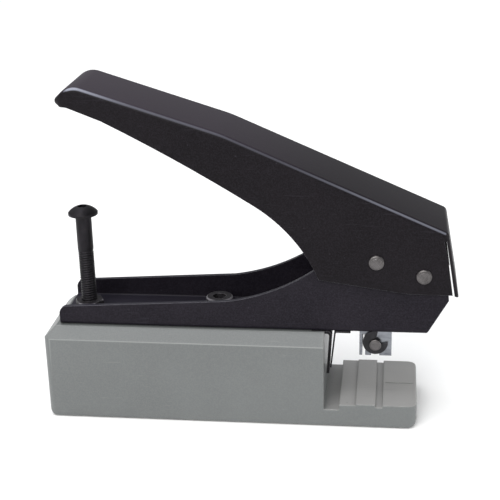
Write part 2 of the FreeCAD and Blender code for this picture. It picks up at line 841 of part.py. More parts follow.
def return_springs():
    """Two compression springs between the channel's floor and the ram's head."""
    springs = []
    foot = floor_top + spring_wire / 2 + spring_seat_gap
    height = ram_shoulder - floor_top - spring_wire - 2 * spring_seat_gap
    for y in (-spring_y, spring_y):
        helix = Part.makeHelix(height / spring_turns, height, spring_radius)
        ring = Part.Wire(Part.makeCircle(spring_wire / 2, vec(spring_radius, 0, 0), vec(0, 1, 0)))
        coil = Part.Wire(helix.Edges).makePipeShell([ring], True, True)
        coil.translate(vec(drive_x, y, foot))
        springs.append(coil)
    return Part.makeCompound(springs)


def frame_screw():
    """Socket head cap screw that holds the channel down on the casting."""
    x = frame_screw_x
    top = floor_top + cap_head_height
    head = disc(cap_head_radius, x, 0, floor_top, top)
    rim = [e for e in head.Edges if e.Closed and abs(e.BoundBox.ZMin - top) < 0.01]
    screw = head.makeChamfer(cap_head_chamfer, rim)
    screw = screw.fuse(threaded_shank(frame_screw_length, x, floor_top))
    return screw.cut(hex_prism(cap_key, x, 0, top - cap_key_depth, top + past)).removeSplitter()


def threaded_shank(length, x, z):
    """Screw shank below z with a chamfered tip."""
    shank = disc(m5_radius, x, 0, z - length, z)
    tip = [e for e in shank.Edges if abs(e.BoundBox.ZMax - z + length) < 0.01]
    return shank.makeChamfer(shank_chamfer, tip)


def nut(x, z0, z1):
    """Hexagon nut with its corners turned off at both faces."""
    body = hex_prism(nut_across_flats, x, 0, z0, z1)
    reach = nut_across_flats / 2 / math.cos(math.radians(30))
    turned = disc(reach, x, 0, z0, z1)
    rims = [e for e in turned.Edges if e.Closed]
    turned = turned.makeChamfer(nut_chamfer, rims)
    hole = disc(m5_radius + m5_thread_gap, x, 0, z0 - past, z1 + past)
    return body.common(turned).cut(hole)


def frame_nut():
    return nut(frame_screw_x, cavity_top - nut_height, cavity_top)


def lock_nut():
    return nut(stop_x, floor_top, floor_top + lock_nut_height)


def stop_screw():
    """Button head screw standing up from the channel; the handle's roof comes down on it."""
    rim_z = stop_head_top - stop_head_height
    dome_height = stop_head_height - stop_head_rim
    dome = (stop_head_radius ** 2 + dome_height ** 2) / (2 * dome_height)
    ball = Part.makeSphere(dome, vec(stop_x, 0, stop_head_top - dome))
    head = disc(stop_head_radius, stop_x, 0, rim_z, stop_head_top).common(ball)
    screw = head.fuse(threaded_shank(stop_screw_length, stop_x, rim_z))
    socket = hex_prism(stop_key, stop_x, 0, stop_head_top - stop_key_depth, stop_head_top + past)
    return screw.cut(socket)


def strip_near_y():
    return -half_channel + strip_side_inset


def back_stop():
    """Bent strip held between base and channel; a card's edge comes to rest against it."""
    top = base_height
    x1 = throat_x + back_strip_reach
    foot_x = x1 - back_strip_lean
    foot_z = top - back_strip_drop
    t = back_strip_sheet
    corners = [(throat_x - back_strip_tuck, top), (throat_x - back_strip_tuck, top - t)]
    corners.append((x1 - t, top - t, back_strip_bend - t + strip_gap))
    corners.append((foot_x - t, foot_z))
    corners.append((foot_x, foot_z))
    corners.append((x1, top, back_strip_bend))
    return side_slab(outline(corners), strip_near_y(), strip_near_y() + strip_width)


def leaf_start():
    return throat_x + back_strip_reach + leaf_gap


def leaf_rivet_place():
    return leaf_start() + leaf_flange - leaf_rivet_edge, strip_near_y() + strip_width - leaf_rivet_edge


def stop_leaf():
    """Thin leaf in front of the back stop, bent forward at the top under the channel's floor."""
    x0 = leaf_start()
    foot_z = base_height - leaf_drop
    t = leaf_sheet
    corners = [(x0 + leaf_flange, base_height), (x0, base_height, leaf_bend_radius)]
    corners.append((x0 - leaf_lean, foot_z))
    corners.append((x0 - leaf_lean + t, foot_z))
    corners.append((x0 + t, base_height - t, leaf_bend_inner_radius))
    corners.append((x0 + leaf_flange, base_height - t))
    leaf = side_slab(outline(corners), strip_near_y(), strip_near_y() + strip_width)
    x, y = leaf_rivet_place()
    return leaf.cut(disc(leaf_rivet_radius, x, y, base_height - t - past, base_height + past))


def leaf_rivet():
    x, y = leaf_rivet_place()
    low = base_height - leaf_sheet
    rivet = disc(leaf_rivet_radius, x, y, low, floor_top)
    head = leaf_rivet_head_height
    rivet = rivet.fuse(disc(leaf_rivet_head_radius, x, y, floor_top, floor_top + head))
    return rivet.fuse(disc(leaf_rivet_head_radius, x, y, low - head, low)).removeSplitter()


makers = [base_body, bottom_cover, cover_screws, rubber_sole, frame_channel, pivot_sleeve,
          frame_screw, frame_nut, lock_nut, back_stop, stop_leaf, leaf_rivet,
          guide_bracket, guide_rivets, handle_shell, pivot_pin, drive_pin, ram_block,
          punch_blade, cross_pin, pin_clips, return_springs, stop_screw]

os.makedirs("parts", exist_ok=True)
for maker in makers:
    shape = maker()
    print(maker.__name__, len(shape.Solids), round(shape.Volume, 1), shape.isValid())
    shape.exportStep("parts/" + maker.__name__ + ".step")
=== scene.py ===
import json
import math

import bmesh
import bpy
from mathutils import Matrix, Vector

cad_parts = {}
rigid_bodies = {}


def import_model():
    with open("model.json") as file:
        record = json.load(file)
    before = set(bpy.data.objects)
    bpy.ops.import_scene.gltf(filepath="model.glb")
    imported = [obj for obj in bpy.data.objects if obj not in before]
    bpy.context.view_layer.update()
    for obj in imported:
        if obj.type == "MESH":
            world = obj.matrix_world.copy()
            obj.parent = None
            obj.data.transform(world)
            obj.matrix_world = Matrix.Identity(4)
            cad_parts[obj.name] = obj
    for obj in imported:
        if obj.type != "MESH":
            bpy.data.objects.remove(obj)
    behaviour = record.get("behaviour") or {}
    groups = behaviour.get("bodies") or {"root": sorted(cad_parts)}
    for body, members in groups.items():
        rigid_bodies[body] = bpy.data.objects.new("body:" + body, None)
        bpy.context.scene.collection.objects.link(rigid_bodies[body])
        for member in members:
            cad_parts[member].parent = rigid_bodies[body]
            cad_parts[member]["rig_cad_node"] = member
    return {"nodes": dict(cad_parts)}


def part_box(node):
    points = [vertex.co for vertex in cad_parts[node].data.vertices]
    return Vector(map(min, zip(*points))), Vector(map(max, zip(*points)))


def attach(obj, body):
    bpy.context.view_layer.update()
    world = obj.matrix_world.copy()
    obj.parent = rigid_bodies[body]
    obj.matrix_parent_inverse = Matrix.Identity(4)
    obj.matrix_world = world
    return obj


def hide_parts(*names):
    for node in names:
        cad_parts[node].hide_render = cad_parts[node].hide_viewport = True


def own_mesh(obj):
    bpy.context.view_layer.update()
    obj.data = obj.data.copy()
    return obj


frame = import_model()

scene = bpy.context.scene
for stray in [o for o in bpy.data.objects if "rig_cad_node" not in o and not o.name.startswith("body:")]:
    bpy.data.objects.remove(stray)
bpy.context.view_layer.update()
mm = 0.001


class Wire:
    # one output socket; arithmetic on it adds Math nodes
    def __init__(self, graph, socket):
        self.graph, self.socket = graph, socket

    def maths(self, operation, *values):
        return self.graph.add("ShaderNodeMath", {"operation": operation}, list(values))

    def __add__(self, other):
        return self.maths("ADD", self, other)

    def __radd__(self, other):
        return self.maths("ADD", other, self)

    def __sub__(self, other):
        return self.maths("SUBTRACT", self, other)

    def __rsub__(self, other):
        return self.maths("SUBTRACT", other, self)

    def __mul__(self, other):
        return self.maths("MULTIPLY", self, other)

    def __rmul__(self, other):
        return self.maths("MULTIPLY", other, self)

    def __truediv__(self, other):
        return self.maths("DIVIDE", self, other)

    def __rtruediv__(self, other):
        return self.maths("DIVIDE", other, self)

    def __pow__(self, other):
        return self.maths("POWER", self, other)

    def size(self):
        return self.maths("ABSOLUTE", self)

    def sine(self):
        return self.maths("SINE", self)

    def cosine(self):
        return self.maths("COSINE", self)

    def least(self, other):
        return self.maths("MINIMUM", self, other)

    def most(self, other):
        return self.maths("MAXIMUM", self, other)


def pick(sockets, key):
    if isinstance(key, int):
        return sockets[key]
    named = [s for s in sockets if s.identifier == key] or [s for s in sockets if s.name == key]
    return named[0]


class Graph:
    def __init__(self, tree):
        self.tree = tree

    def add(self, kind, settings=None, inputs=None, out=0):
        node = self.tree.nodes.new(kind)
        for key, value in (settings or {}).items():
            setattr(node, key, value)
        pairs = enumerate(inputs) if isinstance(inputs, list) else (inputs or {}).items()
        for key, value in pairs:
            socket = pick(node.inputs, key)
            if isinstance(value, Wire):
                self.tree.links.new(value.socket, socket)
            elif socket.type == "RGBA" and len(value) == 3:
                socket.default_value = (*value, 1)
            else:
                socket.default_value = value
        return Wire(self, pick(node.outputs, out)) if len(node.outputs) else node

    def also(self, wire, out):
        return Wire(self, pick(wire.socket.node.outputs, out))


cameraSetup = {
    "place": (0.049845, -0.342141, 0.183018),
    "right": (0.99266, 0.11872, -0.02320),
    "up": (-0.02054, 0.35443, 0.93486),
    "lens": 85.09,
    "sensor": 36.0,
}


def makeCamera(setup):
    data = bpy.data.cameras.new("benchCamera")
    data.lens, data.sensor_width = setup["lens"], setup["sensor"]
    data.clip_start, data.clip_end = 0.01, 20.0
    camera = bpy.data.objects.new("benchCamera", data)
    scene.collection.objects.link(camera)
    right, up = Vector(setup["right"]).normalized(), Vector(setup["up"]).normalized()
    back = right.cross(up).normalized()
    up = back.cross(right)
    turn = Matrix((right, up, back)).transposed().to_4x4()
    camera.matrix_world = Matrix.Translation(setup["place"]) @ turn
    scene.camera = camera


studio = {
    "skyColour": (0.97, 0.985, 1.0),
    "skyStrength": 0.42,
    "backdropStrength": 1.05,
    # name: (place, size along its own X and Y, watts, colour), each aimed at the punch
    "lamps": {
        "keySoftbox": ((-0.60, -1.75, 1.22), (1.9, 1.3), 35.0, (1.0, 0.99, 0.97)),
        "topSoftbox": ((-0.35, -0.30, 2.00), (1.6, 1.2), 20.0, (0.98, 0.985, 1.0)),
        "endSoftbox": ((1.75, -0.35, 0.75), (1.0, 1.3), 17.0, (1.0, 0.995, 0.985)),
        "backFill": ((-0.60, 1.10, 2.00), (1.4, 0.9), 9.0, (0.97, 0.98, 1.0)),
    },
    "aim": (0.0, 0.0, 0.045),
    "floorRadius": 1.35,
    "floorDrop": 0.00005,  # keeps the paper off the sole's own face
}


def makeStudio(setup):
    world = bpy.data.worlds.new("studioSky")
    scene.world = world
    world.use_nodes = True
    world.node_tree.nodes.clear()
    g = Graph(world.node_tree)
    # the sky lights softly, and is plain white where it is the backdrop
    direct = g.add("ShaderNodeLightPath", out="Is Camera Ray")
    strength = direct * (setup["backdropStrength"] - setup["skyStrength"]) + setup["skyStrength"]
    sky = g.add("ShaderNodeBackground", {}, {"Color": setup["skyColour"], "Strength": strength})
    g.add("ShaderNodeOutputWorld", {}, {"Surface": sky})
    for name, (place, size, watts, colour) in setup["lamps"].items():
        data = bpy.data.lights.new(name, "AREA")
        data.shape, data.size, data.size_y = "RECTANGLE", *size
        data.energy, data.color = watts, colour
        lamp = bpy.data.objects.new(name, data)
        scene.collection.objects.link(lamp)
        lamp.location = place
        lamp.rotation_mode = "QUATERNION"
        lamp.rotation_quaternion = (Vector(setup["aim"]) - Vector(place)).to_track_quat("-Z", "Y")


scene.view_settings.view_transform = "Standard"
makeCamera(cameraSetup)
makeStudio(studio)
print("camera and studio ready")


class Finish(Graph):
    # a material: object coordinates in metres, a few shared patterns, one surface at the end
    def __init__(self, name):
        self.material = bpy.data.materials.new(name)
        self.material.use_nodes = True
        super().__init__(self.material.node_tree)
        self.tree.nodes.clear()
        self.spot = self.add("ShaderNodeTexCoord", out="Object")

    def moved(self, centre=(0, 0, 0), stretch=(1, 1, 1)):
        shift = tuple(-c * s for c, s in zip(centre, stretch))
        return self.add("ShaderNodeMapping", {}, {"Vector": self.spot, "Location": shift, "Scale": stretch})

    def noise(self, scale, detail=3.0, roughness=0.55, stretch=None):
        spot = self.moved(stretch=stretch) if stretch else self.spot
        return self.add("ShaderNodeTexNoise", {}, {
            "Vector": spot, "Scale": scale, "Detail": detail, "Roughness": roughness})

    def cells(self, scale, feature="F1", out="Distance"):
        return self.add(
            "ShaderNodeTexVoronoi", {"feature": feature}, {"Vector": self.spot, "Scale": scale}, out)

    def between(self, value, low, high):
        # 0 below low, 1 above high, smooth in between
        return self.add("ShaderNodeMapRange", {"interpolation_type": "SMOOTHSTEP"},
                        {"Value": value, "From Min": low, "From Max": high})

    def colour(self, factor, first, second):
        return self.add("ShaderNodeMix", {"data_type": "RGBA"},
                        {"Factor_Float": factor, "A_Color": first, "B_Color": second}, "Result_Color")

    def edges(self, radius, gain):
        # how much the surface turns within the radius: 0 on the flats, up to 1 along edges
        rounded = self.add("ShaderNodeBevel", {"samples": 6}, {"Radius": radius})
        plain = self.add("ShaderNodeNewGeometry", out="Normal")
        dot = self.add("ShaderNodeVectorMath", {"operation": "DOT_PRODUCT"}, [rounded, plain], "Value")
        return rounded, ((1 - dot) * gain).least(1.0)

    def facing(self, ridges):
        # how far the surface faces up, how far it lies between up and sideways, as along a folded edge,
        # and how near its tilt is to the (tilt, width, strength) of each ridge
        parts = self.add("ShaderNodeSeparateXYZ", {}, [self.add("ShaderNodeNewGeometry", out="Normal")])
        up = self.also(parts, "Z")
        lines = [(1 - (up - tilt).size() / width).most(0.0) * strength for tilt, width, strength in ridges]
        fold = self.between(self.also(parts, "Y").size() * up * 2, 0.70, 1.0)
        return self.between(up, 0.35, 0.95), fold, lines

    def along(self, stops):
        # a strength that passes smoothly through each (X, strength) stop
        parts = self.add("ShaderNodeSeparateXYZ", {}, [self.spot]) if len(stops) > 1 else None
        strength = stops[0][1]
        for (start, low), (end, high) in zip(stops, stops[1:]):
            strength = self.between(parts, start, end) * (high - low) + strength
        return strength

    def rings(self, centre, axis, count):
        # turned rings round an axis through the centre; count is rings per metre
        parts = self.add("ShaderNodeSeparateXYZ", {}, [self.moved(centre)])
        across = [self.also(parts, name) for name in "XYZ" if name != axis]
        radius = (across[0] * across[0] + across[1] * across[1]) ** 0.5
        return (radius * (count * 2 * math.pi)).sine() * 0.5 + 0.5

    def surface(self, sockets, bumpHeight=None, bumpDepth=0.00002, softNormal=None):
        if bumpHeight is not None:
            bump = {"Height": bumpHeight, "Distance": bumpDepth, "Strength": 1.0}
            if softNormal is not None:
                bump["Normal"] = softNormal
            sockets["Normal"] = self.add("ShaderNodeBump", {}, bump)
        shader = self.add("ShaderNodeBsdfPrincipled", {}, sockets)
        self.add("ShaderNodeOutputMaterial", {}, {"Surface": shader})
        return self.material


def paintFinish(name, look):
    # sprayed lacquer over metal: orange peel, drifting shade, hairline scratches, dust specks, worn edges, and
    # painted light: a painted top light on upward faces and painted highlights along edges, folds and ridge
    # lines
    f = Finish(name)
    soft, edge = f.edges(look["edgeRadius"], look["edgeGain"])
    drift = f.noise(look["driftScale"], 4.0, 0.6)
    peel = f.noise(look["peelScale"], 2.0, 0.5)
    grain = f.noise(look["grainScale"], 2.0, 0.6)
    hairs = f.noise(90.0, 2.0, 0.5, stretch=(1.0, 14.0, 16.0))
    scratch = f.between(hairs, 0.66, 0.72) * look["scratches"]
    specks = 1 - f.between(f.cells(look["speckScale"]), 0.05, 0.11)
    specks = specks * f.between(f.noise(240.0, 1.0), 0.52, 0.6)
    top, fold, lines = f.facing(look["ridges"])
    top, fold = top * f.along(look["topFade"]), fold * f.along(look["foldFade"])
    worn = f.between(edge * 0.8 + f.noise(520.0, 3.0, 0.65) * 0.75, look["wearFrom"], look["wearFrom"] + 0.22)
    shade = f.colour(f.between(drift, 0.32, 0.68), look["deep"], look["colour"])
    shade = f.colour(f.between(grain, 0.35, 0.7) * 0.22, shade, look["light"])
    # painted top light: upward faces made lighter, as where the lamps fall on them, its strength faded along X
    # by topFade
    shade = f.colour(top * look["paintedTopLight"] * (drift * 0.5 + 0.75), shade, look["paintedTopLightColour"])
    # painted highlight along folded edges, faded along X by foldFade, and along each ridge line
    shade = f.colour(fold * look["fold"] * (drift * 0.6 + 0.7), shade, look["paintedHighlightColour"])
    for line in lines:
        shade = f.colour(line * (drift * 0.6 + 0.7), shade, look["paintedHighlightColour"])
    shade = f.colour(specks * look["specks"], shade, look["speckColour"])
    # painted highlight along edges
    shade = f.colour(edge * look["edgeLight"], shade, look["light"])
    shade = f.colour(scratch * 0.5, shade, look["light"])
    shade = f.colour(worn * look["wear"], shade, look["metal"])
    rough = look["roughness"] + drift * look["roughDrift"] - look["roughDrift"] / 2
    rough = rough + grain * 0.05 + scratch * 0.12
    height = peel * look["peel"] + grain * look["grain"] - scratch * 0.4 - worn * look["wear"] * 0.5
    return f.surface({
        "Base Color": shade,
        "Roughness": rough,
        "Metallic": worn * (look["wear"] * 0.8),
        "Specular IOR Level": look["specular"],
        "Coat Weight": look["coat"],
        "Coat Roughness": look["coatRoughness"],
    }, height, look["depth"], soft)


basePaint = {
    "colour": (0.125, 0.133, 0.133), "deep": (0.112, 0.119, 0.119), "light": (0.20, 0.21, 0.205),
    # painted top light on the platform's upward faces, from X 0.028 on, where the handle shades them
    "paintedTopLightColour": (0.300, 0.296, 0.292), "paintedTopLight": 0.85, "topFade": [(0.028, 0.0), (0.033, 1.0)],
    "paintedHighlightColour": (0.33, 0.34, 0.33), "fold": 0.0, "foldFade": [(0.0, 1.0)],
    # painted highlight lines along the shoulder edges, at these tilts
    "ridges": [(0.36, 0.20, 0.45), (0.91, 0.07, 0.55)],
    "metal": (0.42, 0.42, 0.40), "speckColour": (0.11, 0.11, 0.105),
    "roughness": 0.36, "roughDrift": 0.12, "specular": 0.45, "coat": 0.12, "coatRoughness": 0.18,
    "driftScale": 26.0, "peelScale": 900.0, "grainScale": 2600.0, "speckScale": 260.0, "specks": 0.35,
    "peel": 1.0, "grain": 0.35, "depth": 0.000022, "scratches": 0.5,
    "edgeRadius": 0.0007, "edgeGain": 5.0, "edgeLight": 0.25, "wearFrom": 0.98, "wear": 0.45,
}
handlePaint = {
    "colour": (0.0062, 0.0048, 0.0062), "deep": (0.0042, 0.0032, 0.0042),
    "light": (0.034, 0.031, 0.039),
    # painted top light on the roof, strongest towards the nose tip and faint at the front
    "paintedTopLightColour": (0.035, 0.028, 0.038), "paintedTopLight": 0.9,
    "topFade": [(-0.055, 1.0), (-0.01, 0.75), (0.04, 0.10)],
    # painted highlight along the roof's folded edges: bright at the nose tip, dim in the middle, brighter
    # again at the front
    "paintedHighlightColour": (0.36, 0.375, 0.45), "fold": 0.9,
    "foldFade": [(-0.055, 1.0), (-0.025, 0.20), (0.015, 0.15), (0.055, 0.45)], "ridges": [],
    "metal": (0.20, 0.20, 0.22), "speckColour": (0.045, 0.042, 0.052),
    "roughness": 0.36, "roughDrift": 0.10, "specular": 0.09, "coat": 0.0, "coatRoughness": 0.28,
    "driftScale": 34.0, "peelScale": 1100.0, "grainScale": 3200.0, "speckScale": 420.0, "specks": 0.5,
    "peel": 0.9, "grain": 0.3, "depth": 0.000014, "scratches": 0.35,
    "edgeRadius": 0.0005, "edgeGain": 5.0, "edgeLight": 0.12, "wearFrom": 1.04, "wear": 0.5,
}
channelPaint = dict(
    handlePaint, colour=(0.0110, 0.0092, 0.0130), deep=(0.0072, 0.0060, 0.0090),
    # painted top light on upward faces, and a weak painted highlight along the folds
    light=(0.045, 0.041, 0.055), paintedTopLightColour=(0.026, 0.024, 0.034), paintedTopLight=0.7, topFade=[(0.0, 1.0)],
    paintedHighlightColour=(0.045, 0.043, 0.056), fold=0.3, foldFade=[(0.0, 1.0)],
    # a stronger painted highlight along the edges, as on the near wall's top edge
    roughness=0.32, edgeLight=0.45, wearFrom=0.94, driftScale=48.0)
stripPaint = dict(
    handlePaint, colour=(0.0080, 0.0075, 0.0085), deep=(0.0050, 0.0048, 0.0054), light=(0.045, 0.044, 0.048),
    roughness=0.42, edgeRadius=0.00025, wearFrom=0.88, wear=0.75, driftScale=120.0)


def steelFinish(name, look):
    # bare or plated metal: drawn or turned lines, smudges, stains, and painted highlights along edges
    f = Finish(name)
    soft, edge = f.edges(look["edgeRadius"], look["edgeGain"])
    smudge = f.noise(look["smudgeScale"], 4.0, 0.62)
    stain = f.between(f.noise(look["smudgeScale"] * 2.3, 5.0, 0.7), 0.55, 0.72) * look["stains"]
    lines = f.noise(look["lineScale"], 3.0, 0.6, stretch=look["stretch"])
    fine = f.noise(4200.0, 2.0, 0.6)
    if look.get("rings"):
        lines = lines * 0.55 + f.rings(*look["rings"]) * 0.45
    # painted highlight along edges, flecked by fine noise
    bright = f.between(edge * 0.9 + fine * 0.4, 0.55, 0.95)
    # painted highlight ring on faces tilted half way up, as on a chamfer
    if look["rim"]:
        parts = f.add("ShaderNodeSeparateXYZ", {}, [f.add("ShaderNodeNewGeometry", out="Normal")])
        up = f.also(parts, "Z")
        tilted = up * (1 - up * up).most(0.0) ** 0.5 * 2
        bright = (bright + f.between(tilted, 0.86, 0.99) * look["rim"]).least(1.0)
    shade = f.colour(f.between(smudge, 0.3, 0.7), look["deep"], look["colour"])
    shade = f.colour(f.between(lines, 0.3, 0.75) * look["lineLight"], shade, look["light"])
    shade = f.colour(stain, shade, look["stainColour"])
    shade = f.colour(bright * look["edgeLight"], shade, look["light"])
    rough = look["roughness"] + smudge * look["roughDrift"] - look["roughDrift"] / 2
    rough = rough + stain * 0.25 + lines * 0.06 - bright * look["edgeLight"] * 0.08
    height = lines * look["line"] + fine * look["fine"] - stain * 0.3
    return f.surface({
        "Base Color": shade,
        "Roughness": rough,
        "Metallic": 1 - stain * 0.5 - (1 - look["metallic"]),
        "Specular IOR Level": look["specular"],
        "Coat Weight": look["oil"],
        "Coat Roughness": 0.2,
    }, height, look["depth"], soft)


brightSteel = {
    "colour": (0.090, 0.083, 0.085), "deep": (0.052, 0.048, 0.049), "light": (0.30, 0.29, 0.285),
    "stainColour": (0.07, 0.06, 0.05),
    "metallic": 1.0, "specular": 0.5, "roughness": 0.32, "roughDrift": 0.14, "oil": 0.0,
    "smudgeScale": 260.0, "stains": 0.45,
    "lineScale": 700.0, "stretch": (1.0, 0.12, 1.0), "lineLight": 0.35, "line": 0.7, "fine": 0.3,
    "depth": 0.000008,
    "edgeRadius": 0.00022, "edgeGain": 5.0, "edgeLight": 0.6, "rim": 0.0,
}
zincPlate = dict(
    brightSteel, colour=(0.21, 0.22, 0.24), deep=(0.105, 0.11, 0.125), light=(0.42, 0.44, 0.475),
    stainColour=(0.11, 0.105, 0.09), roughness=0.26, roughDrift=0.16, stains=0.3, smudgeScale=170.0,
    lineScale=320.0, stretch=(0.5, 1.0, 3.0), lineLight=0.25)
toolSteel = dict(
    brightSteel, colour=(0.30, 0.30, 0.31), deep=(0.19, 0.19, 0.20), light=(0.52, 0.52, 0.54),
    roughness=0.27, lineScale=1500.0, stretch=(1.0, 0.5, 0.05), lineLight=0.5, line=1.0, stains=0.35, oil=0.15)
springSteel = dict(
    brightSteel, colour=(0.22, 0.215, 0.215), deep=(0.14, 0.135, 0.14), light=(0.46, 0.46, 0.48),
    roughness=0.30, lineScale=2400.0, stretch=(1.0, 1.0, 0.3), oil=0.25, stains=0.5, smudgeScale=420.0)
blackSteel = dict(
    brightSteel, colour=(0.022, 0.020, 0.024), deep=(0.013, 0.012, 0.014), light=(0.14, 0.14, 0.155),
    stainColour=(0.035, 0.026, 0.020), metallic=0.86, roughness=0.36, roughDrift=0.16,
    oil=0.10, stains=0.35, lineLight=0.10, lineScale=1100.0,
    stretch=(1.0, 1.0, 0.15), edgeLight=0.55)
stopSteel = dict(blackSteel, roughness=0.50, light=(0.075, 0.072, 0.080), edgeLight=0.35, oil=0.0)
# dark steel with a painted highlight ring on its chamfer, for the lock nut and the cap screw head
rimSteel = dict(
    blackSteel, colour=(0.016, 0.014, 0.017), deep=(0.010, 0.009, 0.011), light=(0.24, 0.23, 0.25),
    metallic=0.2, specular=0.12, roughness=0.46, edgeLight=0.8, rim=1.0, oil=0.0)
springBlack = dict(
    blackSteel, colour=(0.018, 0.017, 0.020), deep=(0.011, 0.011, 0.012), roughness=0.33,
    edgeRadius=0.00012, oil=0.15)


def mouldedFinish(name, look):
    # plastic and rubber: spark-eroded texture from the mould, scuffs, caught dust
    f = Finish(name)
    soft, edge = f.edges(look["edgeRadius"], 4.0)
    texture = f.noise(look["textureScale"], 3.0, 0.7)
    pebble = f.cells(look["pebbleScale"], "SMOOTH_F1")
    scuffs = f.between(f.noise(60.0, 5.0, 0.7, stretch=(1.0, 5.0, 1.0)), 0.56, 0.74)
    dust = f.between(f.noise(140.0, 4.0, 0.65), 0.5, 0.75)
    shade = f.colour(f.between(texture, 0.35, 0.7), look["deep"], look["colour"])
    shade = f.colour(scuffs * look["scuffs"], shade, look["scuffColour"])
    shade = f.colour(dust * look["dust"] + edge * 0.15, shade, look["dustColour"])
    rough = look["roughness"] + texture * 0.10 - scuffs * look["scuffs"] * 0.22 + dust * 0.08
    height = texture * look["texture"] + (1 - pebble) * look["pebble"] - scuffs * 0.2
    return f.surface({
        "Base Color": shade,
        "Roughness": rough,
        "Specular IOR Level": look["specular"],
    }, height, look["depth"], soft)


coverPlastic = {
    "colour": (0.030, 0.030, 0.031), "deep": (0.021, 0.021, 0.022),
    "scuffColour": (0.075, 0.075, 0.078), "dustColour": (0.12, 0.115, 0.105),
    "roughness": 0.48, "specular": 0.5, "textureScale": 2300.0, "pebbleScale": 1300.0,
    "texture": 1.0, "pebble": 0.4, "scuffs": 0.5, "dust": 0.25, "depth": 0.00003, "edgeRadius": 0.0003,
}
soleRubber = dict(
    coverPlastic, colour=(0.022, 0.021, 0.020), deep=(0.014, 0.0135, 0.013), scuffColour=(0.055, 0.053, 0.050),
    dustColour=(0.16, 0.15, 0.135), roughness=0.72, specular=0.35, textureScale=1500.0, pebbleScale=620.0,
    texture=0.6, pebble=1.0, dust=0.45, depth=0.00009, edgeRadius=0.0005)


def floorFinish(name):
    # matt backdrop paper, almost even
    f = Finish(name)
    fibre = f.noise(420.0, 3.0, 0.6)
    broad = f.noise(1.6, 3.0, 0.5)
    shade = f.colour(f.between(broad, 0.3, 0.7), (0.945, 0.945, 0.942), (0.965, 0.965, 0.965))
    return f.surface({
        "Base Color": shade,
        "Roughness": 0.82 + fibre * 0.08,
        "Specular IOR Level": 0.2,
    }, fibre)


finishes = {
    "base_paint": paintFinish("warmGrayEnamel", basePaint),
    "handle_paint": paintFinish("handleLacquer", handlePaint),
    "channel_paint": paintFinish("channelLacquer", channelPaint),
    "strip_paint": paintFinish("stripLacquer", stripPaint),
    "black_steel": steelFinish("blackedSteel", blackSteel),
    "spring_black": steelFinish("blackedClip", springBlack),
    "bright_steel": steelFinish("turnedSteel", brightSteel),
    "zinc_plate": steelFinish("zincPlating", zincPlate),
    "tool_steel": steelFinish("groundSteel", toolSteel),
    "spring_steel": steelFinish("springWire", springSteel),
    "cover_plastic": mouldedFinish("coverPlastic", coverPlastic),
    "sole_rubber": mouldedFinish("soleRubber", soleRubber),
    # the lock nut and cap screw carry a painted highlight ring on their chamfers
    "lockNut": steelFinish("rubbedNut", rimSteel),
    "frameScrew": steelFinish("rubbedCap", rimSteel),
    "stopScrew": steelFinish("blackedStop", stopSteel),
}
print("finishes ready:", len(finishes))


def makeFloor(setup):
    bm = bmesh.new()
    level = Matrix.Translation((0, 0, -setup["floorDrop"]))
    bmesh.ops.create_circle(bm, cap_ends=True, segments=96, radius=setup["floorRadius"], matrix=level)
    mesh = bpy.data.meshes.new("paperFloor")
    bm.to_mesh(mesh)
    bm.free()
    floor = bpy.data.objects.new("paperFloor", mesh)
    scene.collection.objects.link(floor)
    mesh.materials.append(floorFinish("backdropPaper"))


makeFloor(studio)


def smoothMesh(bm, degrees):
    limit = math.radians(degrees)
    for face in bm.faces:
        face.smooth = True
    for edge in bm.edges:
        edge.smooth = edge.is_manifold and edge.calc_face_angle(0) < limit


def addObject(name, mesh):
    piece = bpy.data.objects.new(name, mesh)
    scene.collection.objects.link(piece)
    return piece


def dress(piece, body, slot, nodes, finish=None):
    # material (the given finish, or the one for the slot), body, and the nodes it stands for, which are hidden
    piece.data.materials.clear()
    piece.data.materials.append(finish or finishes[slot])
    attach(piece, body)
    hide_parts(*nodes)
    return piece


def nodeShape(node):
    # the node's shape as a merged mesh, its flat faces whole again
    bm = bmesh.new()
    bm.from_mesh(frame["nodes"][node].data)
    for layers in (bm.loops.layers.float_vector, bm.loops.layers.uv):
        for layer in list(layers.values()):
            layers.remove(layer)
    bmesh.ops.remove_doubles(bm, verts=bm.verts, dist=2e-6)
    flat = math.radians(0.25)
    bmesh.ops.dissolve_limit(bm, angle_limit=flat, verts=bm.verts, edges=bm.edges, delimit={"NORMAL"})
    return bm


def plainMesh(name, bm):
    mesh = bpy.data.meshes.new(name)
    bm.to_mesh(mesh)
    bm.free()
    for attribute in list(mesh.attributes):
        if attribute.name == "custom_normal":
            mesh.attributes.remove(attribute)
    return mesh


# name: (node, body, slot)
sheetAndCast = {
    "baseCasting": ("base_body", "frame", "base_paint"),
    "bottomCover": ("bottom_cover", "frame", "cover_plastic"),
    "rubberSole": ("rubber_sole", "frame", "sole_rubber"),
    "frameChannel": ("frame_channel", "frame", "channel_paint"),
    "pivotSleeve": ("pivot_sleeve", "frame", "bright_steel"),
    "frameNut": ("frame_nut", "frame", "zinc_plate"),
    "lockNut": ("lock_nut", "frame", "black_steel"),
    "backStop": ("back_stop", "frame", "strip_paint"),
    "stopLeaf": ("stop_leaf", "frame", "strip_paint"),
    "guideBracket": ("guide_bracket", "frame", "zinc_plate"),
    "handleShell": ("handle_shell", "handle", "handle_paint"),
    "ramBlock": ("ram_block", "ram", "tool_steel"),
    "punchBlade": ("punch_blade", "ram", "tool_steel"),
    "pinClips": ("pin_clips", "ram", "spring_black"),
}


def makeSheetAndCast(table, edgeAngle):
    for name, (node, body, slot) in table.items():
        bm = nodeShape(node)
        smoothMesh(bm, edgeAngle)
        dress(addObject(name, plainMesh(name, bm)), body, slot, [node], finishes.get(name))
    print("sheet and cast pieces:", len(table))


makeSheetAndCast(sheetAndCast, 34)


